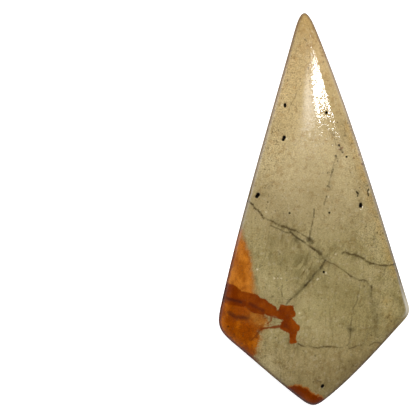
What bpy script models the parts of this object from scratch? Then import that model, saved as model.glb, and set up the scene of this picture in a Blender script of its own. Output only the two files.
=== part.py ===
"""A kite-shaped jasper cabochon, cut and polished from one piece of stone.

Metres, +Z up. The stone lies on its flat back with its narrow point along +Y. The origin
is on the back, at the middle of the stone's length and width.
"""

import math

import bmesh
import bpy
import numpy as np
from mathutils import Matrix

MM = 0.001

# The kite's corners anticlockwise from the narrow point, where its sides would meet if they
# were sharp: x and y, how far before and after it the rounding reaches, and its fullness
CORNERS = (
    (-1.10, 20.95, 3.30, 0.75),
    (-9.82, -11.96, 2.56, 0.90),
    (-0.08, -19.91, 1.93, 0.90),
    (9.69, -10.32, 1.28, 0.90),
)
# How far the side after each corner bows outwards, a third and two thirds of the way along
BOWS = ((0.05, 0.63), (-0.09, 0.28), (0.71, 0.23), (0.29, 0.94))
CURVE_POINTS = 160
SIDE_POINTS = 480
# The points of the rim crowd where it turns, as if each radian of turn were this many mm
TURN_WEIGHT = 3.0

# Heights above the back and insets from the outline, all in mm
BACK_BEVEL = 0.25
BACK_INSET = 0.22
GIRDLE = 2.55
RIM_INSET = 0.11
SIDE_CORNER = (9.40, -9.90)
SIDE_CORNER_INSET = 0.17
SIDE_CORNER_REACH = 3.2

# The dome: a small rounded shoulder at the rim, then a rise that eases to a broad crest
SHOULDER_HEIGHT = 0.22
SHOULDER_REACH = 0.20
RISE = 1.40
RISE_REACH = 2.0
HALF_WIDTH = 9.5
HALF_LENGTH = 19.5
# The rise is multiplied by 1 plus these times x, y, y squared and y cubed, in half widths
# and half lengths: the crest leans a little to the left, and is highest above the middle
SWELL = (-0.12, 0.50, -0.31, -0.60)

# The top is a square grid whose rings shrink from the rim to the middle. The first ones are
# these shares of the way in, so that they carry the shoulder, and the others are even
GRID = 44
SHOULDER_SHARES = (0.0, 0.012, 0.035)
MIDDLE = (-0.4, -3.0)

# Open pits in the polish: x, y, width, length, depth in mm and how far each is turned
PITS = (
    (-2.93, 10.32, 0.27, 0.46, 0.22, 4),
    (1.19, 9.59, 0.24, 0.29, 0.18, -30),
    (-3.07, 7.05, 0.33, 0.50, 0.24, -16),
    (-5.66, 1.35, 0.38, 0.50, 0.26, -28),
    (4.60, 0.36, 0.34, 0.52, 0.26, -5),
    (0.92, -6.28, 0.24, 0.24, 0.16, 0),
    (0.80, -17.65, 0.28, 0.40, 0.20, -35),
)

CUTTER_SEGMENTS = 10
CUTTER_RINGS = 7
SHARP_ANGLE = math.radians(35)

JASPER_COLOUR = (0.352, 0.275, 0.127, 1.0)
JASPER_ROUGHNESS = 0.2


def side_point(start, t):
    """Points at shares t along the side after corner start: the chord plus its outward bow."""
    a = np.array(CORNERS[start][:2])
    b = np.array(CORNERS[(start + 1) % 4][:2])
    chord = b - a
    outward = np.array([chord[1], -chord[0]]) / np.hypot(*chord)
    near, far = BOWS[start]
    t = np.atleast_1d(t)[:, None]
    bow = 3 * t * (1 - t) ** 2 * near + 3 * t**2 * (1 - t) * far
    return a + chord * t + outward * bow


def side_span(start):
    """The shares of a side that its two roundings leave."""
    here, after = CORNERS[start], CORNERS[(start + 1) % 4]
    length = math.dist(here[:2], after[:2])
    return here[2] / length, 1 - after[2] / length


def side_way(start, t):
    """The unit direction of travel along a side at share t."""
    step = (side_point(start, t + 1e-4) - side_point(start, t - 1e-4))[0]
    return step / np.hypot(*step)


def rounding(corner):
    """A Bezier curve from the side before a corner to the side after it, tangent to both."""
    before = (corner - 1) % 4
    leave, join = side_span(before)[1], side_span(corner)[0]
    first, last = side_point(before, leave)[0], side_point(corner, join)[0]
    way_in, way_out = side_way(before, leave), side_way(corner, join)
    reach = np.linalg.solve(np.stack([way_in, way_out], 1), last - first)[0]
    meeting = first + way_in * reach
    fullness = CORNERS[corner][3]
    second = first + (meeting - first) * fullness
    third = last + (meeting - last) * fullness
    t = np.linspace(0, 1, CURVE_POINTS, endpoint=False)[:, None]
    return (
        (1 - t) ** 3 * first
        + 3 * t * (1 - t) ** 2 * second
        + 3 * t**2 * (1 - t) * third
        + t**3 * last
    )


def plan_curve():
    """The whole outline as closely spaced points, centred on its own box."""
    pieces = []
    for corner in range(4):
        pieces.append(rounding(corner))
        shares = np.linspace(*side_span(corner), SIDE_POINTS, endpoint=False)
        pieces.append(side_point(corner, shares))
    points = np.concatenate(pieces)
    return points - (points.min(axis=0) + points.max(axis=0)) / 2


class Outline:
    """The outline read by turn, 0 to 1 once round, which runs slower where the edge turns."""

    def __init__(self):
        self.points = plan_curve()
        ahead = np.roll(self.points, -1, axis=0) - self.points
        length = np.hypot(*ahead.T)
        heading = np.arctan2(ahead[:, 1], ahead[:, 0])
        bend = np.abs(np.angle(np.exp(1j * (np.roll(heading, -1) - heading))))
        way = np.concatenate([[0], np.cumsum(length + TURN_WEIGHT * bend)])
        self.turns = way / way[-1]
        smooth_way = ahead + np.roll(ahead, 1, axis=0)
        self.outward = np.stack([smooth_way[:, 1], -smooth_way[:, 0]], 1)
        self.outward /= np.hypot(*self.outward.T)[:, None]

    def read(self, values, turn):
        closed = np.concatenate([values, values[:1]])
        return np.stack([np.interp(turn % 1.0, self.turns, closed[:, k]) for k in (0, 1)], -1)

    def at(self, turn, inset):
        """Points of the outline moved inwards by inset."""
        turn = np.asarray(turn)
        inset = np.asarray(inset)
        return self.read(self.points, turn) - self.read(self.outward, turn) * inset[..., None]


def rim_inset(place):
    """How far the dome's rim stands inside the outline: more at the sharper side corner."""
    away = np.hypot(*(place - np.array(SIDE_CORNER)).T)
    return RIM_INSET + SIDE_CORNER_INSET * np.exp(-((away / SIDE_CORNER_REACH) ** 2))


def smooth_inset(place, rim):
    """How far inside the rim a point is, with the distances to all its sides blended.

    It is the inverse square root of half the integral round the rim of one over distance
    cubed, worked out exactly for each straight piece. Near one side it is the distance to it.
    """
    start = rim
    ahead = np.roll(rim, -1, axis=0) - rim
    length = np.hypot(*ahead.T)
    way = ahead / length[:, None]
    to = place[:, None, :] - start[None]
    along = (to * way[None]).sum(2)
    off = to[..., 0] * way[None, :, 1] - to[..., 1] * way[None, :, 0]
    off_squared = np.maximum(off**2, 1e-8)

    def primitive(s):
        return s / (off_squared * np.sqrt(s**2 + off_squared))

    total = (primitive(length[None] - along) - primitive(-along)).sum(1)
    return (total / 2) ** -0.5


def dome_height(place, rim):
    """The height of the dome over its rim at each place, in mm."""
    inset = smooth_inset(place, rim)
    x, y = place[:, 0] / HALF_WIDTH, place[:, 1] / HALF_LENGTH
    swell = 1 + SWELL[0] * x + SWELL[1] * y + SWELL[2] * y**2 + SWELL[3] * y**3
    shoulder = SHOULDER_HEIGHT * (1 - np.exp(-inset / SHOULDER_REACH))
    return shoulder + RISE * (1 - np.exp(-inset / RISE_REACH)) * swell


def ring_and_turn(a, b):
    """A point of the square grid as how many rings it is from the rim, and its turn."""
    size = np.maximum(np.abs(a), np.abs(b))
    safe = np.maximum(size, 1e-9)
    u, v = a / safe, b / safe
    near_one = 1 - 1e-6
    turn = np.select(
        [u > near_one, v > near_one, u < -near_one],
        [(v + 1) / 8, (3 - u) / 8, (5 - v) / 8],
        (7 + u) / 8,
    )
    return np.rint((1 - size) * GRID / 2).astype(int), turn


def grid_places(outline, rings_in, turn):
    """Where the grid's points lie in plan: the rim shrunk towards the middle, ring by ring."""
    rings = GRID // 2
    last = len(SHOULDER_SHARES) - 1
    even = np.linspace(SHOULDER_SHARES[last], 1, rings - last + 1)
    way_in = np.concatenate([SHOULDER_SHARES[:last], even])[rings_in]
    rim = outline.at(turn, rim_inset(outline.at(turn, np.zeros(len(turn)))))
    return rim + way_in[:, None] * (np.array(MIDDLE) - rim)


def new_object(name, bm, collection):
    mesh = bpy.data.meshes.new(name)
    bm.to_mesh(mesh)
    bm.free()
    made = bpy.data.objects.new(name, mesh)
    collection.objects.link(made)
    return made


def lowered_edge(bm, turn_layer, outline, inset, height):
    """Draws the open edge of the mesh out to a new ring at this inset and height."""
    open_edges = [edge for edge in bm.edges if edge.is_boundary]
    drawn = bmesh.ops.extrude_edge_only(bm, edges=open_edges)["geom"]
    verts = [part for part in drawn if isinstance(part, bmesh.types.BMVert)]
    turns = np.array([vert[turn_layer] for vert in verts])
    for vert, (x, y) in zip(verts, outline.at(turns, np.full(len(verts), inset))):
        vert.co = (x * MM, y * MM, height * MM)


def cabochon_mesh(outline):
    """The stone without its pits: a domed grid, a drafted wall, a bevel and a flat back."""
    bm = bmesh.new()
    bmesh.ops.create_grid(bm, x_segments=GRID, y_segments=GRID, size=1.0)
    turn_layer = bm.verts.layers.float.new("turn")
    flat = np.array([vert.co[:2] for vert in bm.verts])
    rings_in, turn = ring_and_turn(*flat.T)
    place = grid_places(outline, rings_in, turn)
    height = np.where(rings_in == 0, 0, dome_height(place, rim_polygon(outline)))
    for vert, (x, y), z, way_round in zip(bm.verts, place, height, turn):
        vert.co = (x * MM, y * MM, (GIRDLE + z) * MM)
        vert[turn_layer] = way_round
    lowered_edge(bm, turn_layer, outline, 0.0, BACK_BEVEL)
    lowered_edge(bm, turn_layer, outline, BACK_INSET, 0.0)
    bmesh.ops.contextual_create(bm, geom=[edge for edge in bm.edges if edge.is_boundary])
    bmesh.ops.triangulate(bm, faces=bm.faces)
    bmesh.ops.recalc_face_normals(bm, faces=bm.faces)
    return bm


def rim_polygon(outline):
    """The dome's rim as a polygon, for measuring how far inside it a point is."""
    turn = np.arange(4 * GRID) / (4 * GRID)
    return outline.at(turn, rim_inset(outline.at(turn, np.zeros(len(turn)))))


def pit_cutters(outline):
    """One egg-shaped cutter for each pit, half sunk in the dome."""
    bm = bmesh.new()
    places = np.array([pit[:2] for pit in PITS])
    heights = GIRDLE + dome_height(places, rim_polygon(outline))
    for (x, y, width, length, depth, tilt), z in zip(PITS, heights):
        size = Matrix.Diagonal((width / 2 * MM, length / 2 * MM, depth * MM, 1))
        turned = Matrix.Rotation(math.radians(tilt), 4, "Z")
        moved = Matrix.Translation((x * MM, y * MM, z * MM))
        bmesh.ops.create_uvsphere(
            bm,
            u_segments=CUTTER_SEGMENTS,
            v_segments=CUTTER_RINGS,
            radius=1.0,
            matrix=moved @ turned @ size,
        )
    return bm


def jasper():
    material = bpy.data.materials.new("polished jasper")
    material.use_nodes = True
    finish = material.node_tree.nodes["Principled BSDF"]
    finish.inputs["Base Color"].default_value = JASPER_COLOUR
    finish.inputs["Roughness"].default_value = JASPER_ROUGHNESS
    return material


def collection_for(name):
    made = bpy.data.collections.new(name)
    bpy.context.scene.collection.children.link(made)
    return made


for left_over in list(bpy.data.objects):
    bpy.data.objects.remove(left_over, do_unlink=True)

stone_outline = Outline()
stone = new_object("cabochon", cabochon_mesh(stone_outline), collection_for("jasper cabochon"))
stone.data.materials.append(jasper())
stone.data.shade_smooth()
stone.data.set_sharp_from_angle(angle=SHARP_ANGLE)

pits = new_object("pit_cutters", pit_cutters(stone_outline), collection_for("cutters"))
pits.hide_render = True
pits.display_type = "WIRE"

cut = stone.modifiers.new("pits", "BOOLEAN")
cut.operation = "DIFFERENCE"
cut.solver = "EXACT"
cut.object = pits
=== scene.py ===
"""A kite-shaped cabochon of polygram jasper, lying on its flat back on a white table.

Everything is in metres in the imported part's own frame: +Z up out of the dome, +Y towards
the narrow point, and the origin in the middle of the stone's back.
"""

from functools import partial

import bpy
import numpy as np
from mathutils import Matrix


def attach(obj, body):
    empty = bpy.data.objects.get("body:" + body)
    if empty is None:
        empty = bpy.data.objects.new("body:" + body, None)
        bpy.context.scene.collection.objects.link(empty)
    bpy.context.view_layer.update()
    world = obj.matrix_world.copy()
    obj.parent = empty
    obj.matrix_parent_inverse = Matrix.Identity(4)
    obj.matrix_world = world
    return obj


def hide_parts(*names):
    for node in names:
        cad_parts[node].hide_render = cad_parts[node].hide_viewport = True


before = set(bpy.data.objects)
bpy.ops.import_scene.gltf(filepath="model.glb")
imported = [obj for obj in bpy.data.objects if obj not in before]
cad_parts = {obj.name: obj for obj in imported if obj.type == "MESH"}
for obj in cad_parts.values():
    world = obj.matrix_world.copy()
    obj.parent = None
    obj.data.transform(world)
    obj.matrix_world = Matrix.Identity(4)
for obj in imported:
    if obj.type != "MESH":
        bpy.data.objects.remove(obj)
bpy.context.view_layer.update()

MM = 0.001


# The camera: a long lens straight above the table, level and square to it. It stands over
# a place to the left of the stone, so that the stone fills the right half of the picture.

CAMERA_PLACE = (-10.60, 0.10, 900.0)
VIEW_WIDTH = 41.6
SENSOR = 36.0
NEAREST_SEEN = 10.0
FARTHEST_SEEN = 10000.0

camera_data = bpy.data.cameras.new("camera")
camera_data.sensor_width = SENSOR
camera_data.lens = SENSOR * CAMERA_PLACE[2] / VIEW_WIDTH
camera_data.clip_start = NEAREST_SEEN * MM
camera_data.clip_end = FARTHEST_SEEN * MM
camera = bpy.data.objects.new("camera", camera_data)
camera.location = [value * MM for value in CAMERA_PLACE]
bpy.context.scene.collection.objects.link(camera)
bpy.context.scene.camera = camera
bpy.context.scene.view_settings.view_transform = "Standard"


# The light table that the stone lies on: a sheet of white acrylic, lit a little from below
# so that it stays white round the stone.

TABLE_HALF = 1500.0
# The table lies a hair below the stone's back, so that the two faces don't coincide
TABLE_DROP = 0.01
TABLE_GLOW = 0.90


def linear(colour):
    """An sRGB hex colour as the linear values that shaders take."""
    parts = np.array([int(colour[k : k + 2], 16) / 255 for k in (1, 3, 5)])
    low = parts / 12.92
    high = ((parts + 0.055) / 1.055) ** 2.4
    return (*np.where(parts <= 0.04045, low, high).tolist(), 1.0)


def add_node(tree, kind, inputs=None, **settings):
    """Adds a shader node with its settings, and gives each input its value or link.

    An input that is given a node is linked to that node's first output.
    """
    made = tree.nodes.new("ShaderNode" + kind)
    for name, value in settings.items():
        setattr(made, name, value)
    for name, value in (inputs or {}).items():
        if isinstance(value, bpy.types.Node):
            value = value.outputs[0]
        if isinstance(value, bpy.types.NodeSocket):
            tree.links.new(value, made.inputs[name])
        else:
            made.inputs[name].default_value = value
    return made


def new_material(name):
    """An empty node material, and add_node for its tree."""
    material = bpy.data.materials.new(name)
    material.use_nodes = True
    material.node_tree.nodes.clear()
    return material, partial(add_node, material.node_tree)


def mesh_object(name, points, quads, triangles=()):
    """An object at the origin from points in mm and faces given as rows of point numbers."""
    quads = np.asarray(quads, dtype=np.int32).reshape(-1, 4)
    triangles = np.asarray(triangles, dtype=np.int32).reshape(-1, 3)
    corners = np.concatenate([quads.ravel(), triangles.ravel()])
    sizes = np.repeat([4, 3], [len(quads), len(triangles)])
    mesh = bpy.data.meshes.new(name)
    mesh.vertices.add(len(points))
    mesh.vertices.foreach_set("co", (np.asarray(points) * MM).astype(np.float32).ravel())
    mesh.loops.add(len(corners))
    mesh.loops.foreach_set("vertex_index", corners)
    mesh.polygons.add(len(sizes))
    mesh.polygons.foreach_set("loop_start", np.cumsum(sizes) - sizes)
    mesh.polygons.foreach_set("use_smooth", np.ones(len(sizes), dtype=bool))
    mesh.update(calc_edges=True)
    made = bpy.data.objects.new(name, mesh)
    bpy.context.scene.collection.objects.link(made)
    return made


acrylic, node = new_material("white acrylic, lit from below")
acrylic_surface = node("BsdfPrincipled", {
    "Base Color": linear("#C8C8C8"), "Roughness": 0.6, "Specular IOR Level": 0.0,
    "Emission Color": linear("#FFFFFF"), "Emission Strength": TABLE_GLOW,
})
node("OutputMaterial", {"Surface": acrylic_surface})

square = np.array([(-1, -1, 0), (1, -1, 0), (1, 1, 0), (-1, 1, 0)]) * TABLE_HALF - (0, 0, TABLE_DROP)
table = mesh_object("table", square, [(0, 1, 2, 3)])
table.data.materials.append(acrylic)


# The lights of a small photographic studio, as seen from the stone: a strip lamp up to its
# right that makes the long bright streak, a big weak panel over it, a key lamp close by
# beyond its point, and a pale room all round that is dark overhead.

# Ways lead from the stone, and places, sizes and distances are in mm. A share is how far a
# lamp by itself lights a level white face, where 1 is full white.
STRIP_FROM = (0.195, 0.184, 1.0)
STRIP_TO = (0.800, 0.376, 1.0)
STRIP_DISTANCE = 1200.0
STRIP_WIDTH = 52.0
STRIP_POWER = 68.0
PANEL_WAY = (0.030, 0.165, 0.986)
PANEL_DISTANCE = 1500.0
PANEL_SIZE = (960.0, 360.0)
PANEL_GLOW = 7.0
KEY_PLACE = (-30.0, 92.0, 110.0)
KEY_SIZE = (100.0, 60.0)
KEY_SHARE = 0.365
FILL_PLACE = (-60.0, 30.0, 300.0)
FILL_SIZE = (200.0, 200.0)
FILL_SHARE = 0.315
# How bright the room is at each height of view, from level at 0 to straight up at 1
ROOM_GLOW = 1.0
ROOM_LEVELS = ((0.0, 0.20), (0.30, 0.20), (0.50, 0.12), (0.72, 0.0))


def facing(place, target, along):
    """The three unit axes of a lamp at place whose -Z looks at target and whose X is along."""
    back = np.array(place, dtype=float) - np.array(target, dtype=float)
    back /= np.linalg.norm(back)
    side = np.array(along, dtype=float) - back * np.dot(along, back)
    side /= np.linalg.norm(side)
    return side, np.cross(back, side), back


def area_lamp(name, place, target, along, size, radiance):
    """A rectangular lamp of the given size in mm and radiance, out of the camera's sight."""
    data = bpy.data.lights.new(name, "AREA")
    data.shape = "RECTANGLE"
    data.size, data.size_y = size[0] * MM, size[1] * MM
    data.energy = radiance * data.size * data.size_y * np.pi
    made = bpy.data.objects.new(name, data)
    turn = np.eye(4)
    turn[:3, :3] = np.stack(facing(place, target, along), 1)
    turn[:3, 3] = np.array(place) * MM
    made.matrix_world = Matrix(turn.tolist())
    made.visible_camera = False
    bpy.context.scene.collection.objects.link(made)
    return made


# The middle of the long highlight on the dome, which the strip lamp is placed from
HIGHLIGHT = np.array((0.6, 10.5, 3.6))
strip_ends = [
    HIGHLIGHT + STRIP_DISTANCE * np.array(way) / np.linalg.norm(way)
    for way in (STRIP_FROM, STRIP_TO)
]
strip_along = strip_ends[1] - strip_ends[0]
strip_size = (np.linalg.norm(strip_along), STRIP_WIDTH)
area_lamp("strip lamp", sum(strip_ends) / 2, HIGHLIGHT, strip_along, strip_size, STRIP_POWER)
for name, lamp_place, size, lit in (
    ("key lamp", KEY_PLACE, KEY_SIZE, KEY_SHARE),
    ("fill lamp", FILL_PLACE, FILL_SIZE, FILL_SHARE),
):
    # The radiance follows from how much of the sky the lamp takes up, seen from the origin
    away = np.linalg.norm(lamp_place)
    seen = size[0] * size[1] / away**2 * lamp_place[2] / away
    lamp = area_lamp(name, lamp_place, (0, 0, 0), (1, 0, 0), size, lit * np.pi / seen)
    lamp.visible_glossy = False

panel_glow, node = new_material("panel with a bright middle")
place = node("TexCoord")
spread = node(
    "Mapping", {"Vector": place.outputs["UV"], "Location": (-1.0, -1.0, 0), "Scale": (2.0, 2.0, 1.0)}
)
out_from_middle = node("VectorMath", {0: spread}, operation="LENGTH")
falloff = node("MapRange", {
    "Value": out_from_middle.outputs["Value"], "To Min": PANEL_GLOW, "To Max": 0.0,
}, interpolation_type="SMOOTHERSTEP")
glow = node("Emission", {"Strength": falloff})
node("OutputMaterial", {"Surface": glow})

panel_place = PANEL_DISTANCE * np.array(PANEL_WAY)
side, up, back = facing(panel_place, (0, 0, 0), (1, 0, 0))
corners = [
    panel_place + side * a * PANEL_SIZE[0] + up * b * PANEL_SIZE[1]
    for a, b in ((-0.5, -0.5), (0.5, -0.5), (0.5, 0.5), (-0.5, 0.5))
]
panel = mesh_object("panel", corners, [(3, 2, 1, 0)])
panel_map = panel.data.uv_layers.new(name="across")
panel_corners = np.array([(0, 1), (1, 1), (1, 0), (0, 0)], dtype=np.float32)
panel_map.data.foreach_set("uv", panel_corners.ravel())
panel.data.materials.append(panel_glow)
panel.visible_camera = False
panel.visible_shadow = False

world = bpy.data.worlds.new("room")
world.use_nodes = True
bpy.context.scene.world = world
world.node_tree.nodes.clear()
node = partial(add_node, world.node_tree)
way = node("TexCoord")
parts = node("SeparateXYZ", {0: way.outputs["Generated"]})
height = node("ValToRGB", {"Fac": parts.outputs["Z"]})
# The ramp has two stops to begin with, and each of these new ones is moved to its place
stops = height.color_ramp.elements
stops.new(0.5)
stops.new(0.5)
for stop, (level, strength) in zip(stops, ROOM_LEVELS):
    stop.position = level
    stop.color = (strength, strength, strength, 1.0)
glow = node("Background", {"Color": height, "Strength": ROOM_GLOW})
node("OutputWorld", {"Surface": glow})


# The stone: one piece of polygram jasper, a fine, hard quartz rock. It is sawn flat below,
# ground to a kite with an almost upright edge, and polished to a low dome. The open pits in
# the dome are small cavities of the rock that the polishing cut through.

# The kite's corners anticlockwise from the narrow point, where its sides would meet if they
# were sharp: x and y, how far before and after it the rounding reaches, and its fullness
CORNERS = (
    (-1.10, 20.95, 3.30, 0.75),
    (-9.82, -11.96, 2.56, 0.90),
    (-0.08, -19.91, 1.93, 0.90),
    (9.69, -10.32, 1.28, 0.90),
)
# How far the side after each corner bows outwards, a third and two thirds of the way along
BOWS = ((0.05, 0.63), (-0.09, 0.28), (0.71, 0.23), (0.29, 0.94))
CURVE_POINTS = 160
SIDE_POINTS = 480
# How many mm of travel a radian of turning counts for, so that corners get more points
TURN_WEIGHT = 3.0

# The bevel round the back: its height, how far it goes in, and the inset and height half way
BACK_BEVEL = 0.25
BACK_INSET = 0.22
BEVEL_MIDDLE = (0.07, 0.10)
# The share of the back that its inner grid covers, up to a thin seam along its rim
BACK_SHARE = 0.985
# The height of the dome's rim, and how far it stands inside the foot of the edge, which is
# more at the sharper side corner
GIRDLE = 2.55
RIM_INSET = 0.11
SIDE_CORNER = (9.40, -9.90)
SIDE_CORNER_INSET = 0.17
SIDE_CORNER_REACH = 3.2

# The dome: its shoulder and its rise, each as a height and the reach over which it eases off
SHOULDER_HEIGHT = 0.22
SHOULDER_REACH = 0.20
RISE = 1.40
RISE_REACH = 2.0
HALF_WIDTH = 9.5
HALF_LENGTH = 19.5
# How the rise swells with x, y, y squared and y cubed, each as a share of the half size
SWELL = (-0.12, 0.50, -0.31, -0.60)
MIDDLE = (-0.4, -3.0)

# The top is a square grid of cells whose rings follow the rim, and lie closer together there.
# The back is another, half as fine. The edge has a row of points at each of these heights.
TOP_CELLS = 256
BACK_CELLS = 128
RIM_CROWDING = 0.5
RIM_PIECES = 360
WALL_HEIGHTS = (2.50, 2.40, 2.22, 2.0, 1.75, 1.5, 1.25, 1.0, 0.75, 0.5, 0.32, 0.25)

# Open pits in the polish: x, y, width, length, depth in mm and how far each is turned
PITS = (
    (-2.93, 10.32, 0.30, 0.50, 0.24, 4),
    (1.19, 9.59, 0.27, 0.32, 0.20, -30),
    (-3.07, 7.05, 0.37, 0.56, 0.26, -16),
    (-5.66, 1.35, 0.42, 0.56, 0.28, -28),
    (4.60, 0.36, 0.37, 0.56, 0.28, -5),
    (0.92, -6.28, 0.24, 0.24, 0.16, 0),
    (0.80, -17.65, 0.30, 0.43, 0.22, -35),
)
# How far round each pit the grid is drawn towards it, and how strongly
PIT_GATHER = 1.0
PIT_GATHER_POWER = 1.55


def side_point(start, t):
    """Points at shares t along the side after corner start: the chord plus its outward bow."""
    a = np.array(CORNERS[start][:2])
    b = np.array(CORNERS[(start + 1) % 4][:2])
    chord = b - a
    outward = np.array([chord[1], -chord[0]]) / np.hypot(*chord)
    near, far = BOWS[start]
    t = np.atleast_1d(t)[:, None]
    bow = 3 * t * (1 - t) ** 2 * near + 3 * t**2 * (1 - t) * far
    return a + chord * t + outward * bow


def side_span(start):
    """The shares of a side that its two roundings leave."""
    here, after = CORNERS[start], CORNERS[(start + 1) % 4]
    length = np.hypot(here[0] - after[0], here[1] - after[1])
    return here[2] / length, 1 - after[2] / length


def side_way(start, t):
    """The unit direction of travel along a side at share t."""
    step = (side_point(start, t + 1e-4) - side_point(start, t - 1e-4))[0]
    return step / np.hypot(*step)


def rounding(corner):
    """A Bezier curve from the side before a corner to the side after it, tangent to both."""
    before = (corner - 1) % 4
    leave, join = side_span(before)[1], side_span(corner)[0]
    first, last = side_point(before, leave)[0], side_point(corner, join)[0]
    way_in, way_out = side_way(before, leave), side_way(corner, join)
    reach = np.linalg.solve(np.stack([way_in, way_out], 1), last - first)[0]
    meeting = first + way_in * reach
    fullness = CORNERS[corner][3]
    second = first + (meeting - first) * fullness
    third = last + (meeting - last) * fullness
    t = np.linspace(0, 1, CURVE_POINTS, endpoint=False)[:, None]
    return (
        (1 - t) ** 3 * first
        + 3 * t * (1 - t) ** 2 * second
        + 3 * t**2 * (1 - t) * third
        + t**3 * last
    )


class Outline:
    """The kite in plan, read by turn: 0 to 1 once round, slower where the edge turns."""

    def __init__(self):
        pieces = []
        for corner in range(4):
            pieces.append(rounding(corner))
            shares = np.linspace(*side_span(corner), SIDE_POINTS, endpoint=False)
            pieces.append(side_point(corner, shares))
        points = np.concatenate(pieces)
        self.points = points - (points.min(axis=0) + points.max(axis=0)) / 2
        ahead = np.roll(self.points, -1, axis=0) - self.points
        heading = np.arctan2(ahead[:, 1], ahead[:, 0])
        bend = np.abs(np.angle(np.exp(1j * (np.roll(heading, -1) - heading))))
        way = np.concatenate([[0], np.cumsum(np.hypot(*ahead.T) + TURN_WEIGHT * bend)])
        self.turns = way / way[-1]
        smooth_way = ahead + np.roll(ahead, 1, axis=0)
        self.outward = np.stack([smooth_way[:, 1], -smooth_way[:, 0]], 1)
        self.outward /= np.hypot(*self.outward.T)[:, None]

    def read(self, values, turn):
        """Pairs of values that are kept at the outline's points, read at each turn."""
        closed = np.concatenate([values, values[:1]])
        return np.stack([np.interp(turn % 1.0, self.turns, closed[:, k]) for k in (0, 1)], -1)

    def at(self, turn, inset):
        """Points of the outline moved inwards by inset."""
        turn = np.asarray(turn)
        inset = np.broadcast_to(inset, turn.shape)
        return self.read(self.points, turn) - self.read(self.outward, turn) * inset[..., None]


def bell(away, reach):
    """A share that falls off from 1 like a bell curve, to 1 / e at the reach."""
    return np.exp(-((away / reach) ** 2))


def rim_inset(place):
    """How far the dome's rim stands inside the outline: more at the sharper side corner."""
    away = np.hypot(*(place - np.array(SIDE_CORNER)).T)
    return RIM_INSET + SIDE_CORNER_INSET * bell(away, SIDE_CORNER_REACH)


def smooth_inset(place, rim):
    """How far inside the rim a point is, with the distances to all its sides blended.

    It is the inverse square root of half the integral round the rim of one over distance
    cubed, worked out exactly for each straight piece. Near one side it is the distance to it.
    """
    ahead = np.roll(rim, -1, axis=0) - rim
    total = np.zeros(len(place))
    for start, step in zip(rim, ahead):
        length = np.hypot(*step)
        to = place - start
        along = to @ step / length
        off_squared = np.maximum(((to[:, 0] * step[1] - to[:, 1] * step[0]) / length) ** 2, 1e-8)
        after = (length - along) / np.sqrt((length - along) ** 2 + off_squared)
        before = -along / np.sqrt(along**2 + off_squared)
        total += (after - before) / off_squared
    return (total / 2) ** -0.5


def dome_height(place, rim):
    """The height of the dome over its rim: a small round shoulder, then an easing rise."""
    inset = smooth_inset(place, rim)
    x, y = place[:, 0] / HALF_WIDTH, place[:, 1] / HALF_LENGTH
    swell = 1 + SWELL[0] * x + SWELL[1] * y + SWELL[2] * y**2 + SWELL[3] * y**3
    shoulder = SHOULDER_HEIGHT * (1 - np.exp(-inset / SHOULDER_REACH))
    return shoulder + RISE * (1 - np.exp(-inset / RISE_REACH)) * swell


def ringed_grid(cells):
    """A square grid as rings round its middle: rings in from the rim, turn, faces and rim order.

    A point's ring is the larger of its two coordinates, and its turn is its way round that
    square, counted from the lower right corner.
    """
    steps = np.linspace(-1, 1, cells + 1)
    b, a = [values.ravel() for values in np.meshgrid(steps, steps, indexing="ij")]
    size = np.maximum(np.abs(a), np.abs(b))
    safe = np.maximum(size, 1e-9)
    u, v = a / safe, b / safe
    near_one = 1 - 1e-6
    turn = np.select(
        [u > near_one, v > near_one, u < -near_one],
        [(v + 1) / 8, (3 - u) / 8, (5 - v) / 8],
        (7 + u) / 8,
    )
    rings_in = np.rint((1 - size) * cells / 2).astype(int)
    number = np.arange((cells + 1) ** 2).reshape(cells + 1, cells + 1)
    quads = np.stack(
        [number[:-1, :-1], number[:-1, 1:], number[1:, 1:], number[1:, :-1]], -1
    ).reshape(-1, 4)
    rim = np.flatnonzero(rings_in == 0)
    return rings_in, turn, quads, rim[np.argsort(turn[rim] % 1.0)]


def gathered(place):
    """Draws grid points towards each pit, so that its hollow has enough of them.

    Within PIT_GATHER mm the distance to the pit's middle is its share raised to a power.
    """
    for x, y, *_ in PITS:
        to = place - (x, y)
        share = np.hypot(*to.T) / PIT_GATHER
        pull = np.where(share < 1, np.maximum(share, 1e-6) ** (PIT_GATHER_POWER - 1), 1)
        place = (x, y) + to * pull[:, None]
    return place


def pit_depth(place):
    """How deep the open pits are at each point: an egg shape, steep at its edge."""
    depth = np.zeros(len(place))
    for x, y, width, length, deepest, tilt in PITS:
        to = place - (x, y)
        c, s = np.cos(np.radians(tilt)), np.sin(np.radians(tilt))
        across = (to[:, 0] * c + to[:, 1] * s) / (width / 2)
        along = (to[:, 1] * c - to[:, 0] * s) / (length / 2)
        depth += deepest * np.sqrt(np.maximum(1 - across**2 - along**2, 0))
    return depth


outline = Outline()
rings_in, turn, top_quads, rim_order = ringed_grid(TOP_CELLS)
middle = np.array(MIDDLE)
way_in = rings_in / (TOP_CELLS / 2)
share = 1 - way_in * (1 - RIM_CROWDING * (1 - way_in))
rim_now = outline.at(turn, rim_inset(outline.at(turn, 0.0)))
top_plan = gathered(middle + share[:, None] * (rim_now - middle))
rim_turns = np.arange(RIM_PIECES) / RIM_PIECES
rim = outline.at(rim_turns, rim_inset(outline.at(rim_turns, 0.0)))
top_height = np.where(rings_in == 0, 0, dome_height(top_plan, rim) - pit_depth(top_plan))
top = np.column_stack([top_plan, GIRDLE + top_height])

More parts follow.
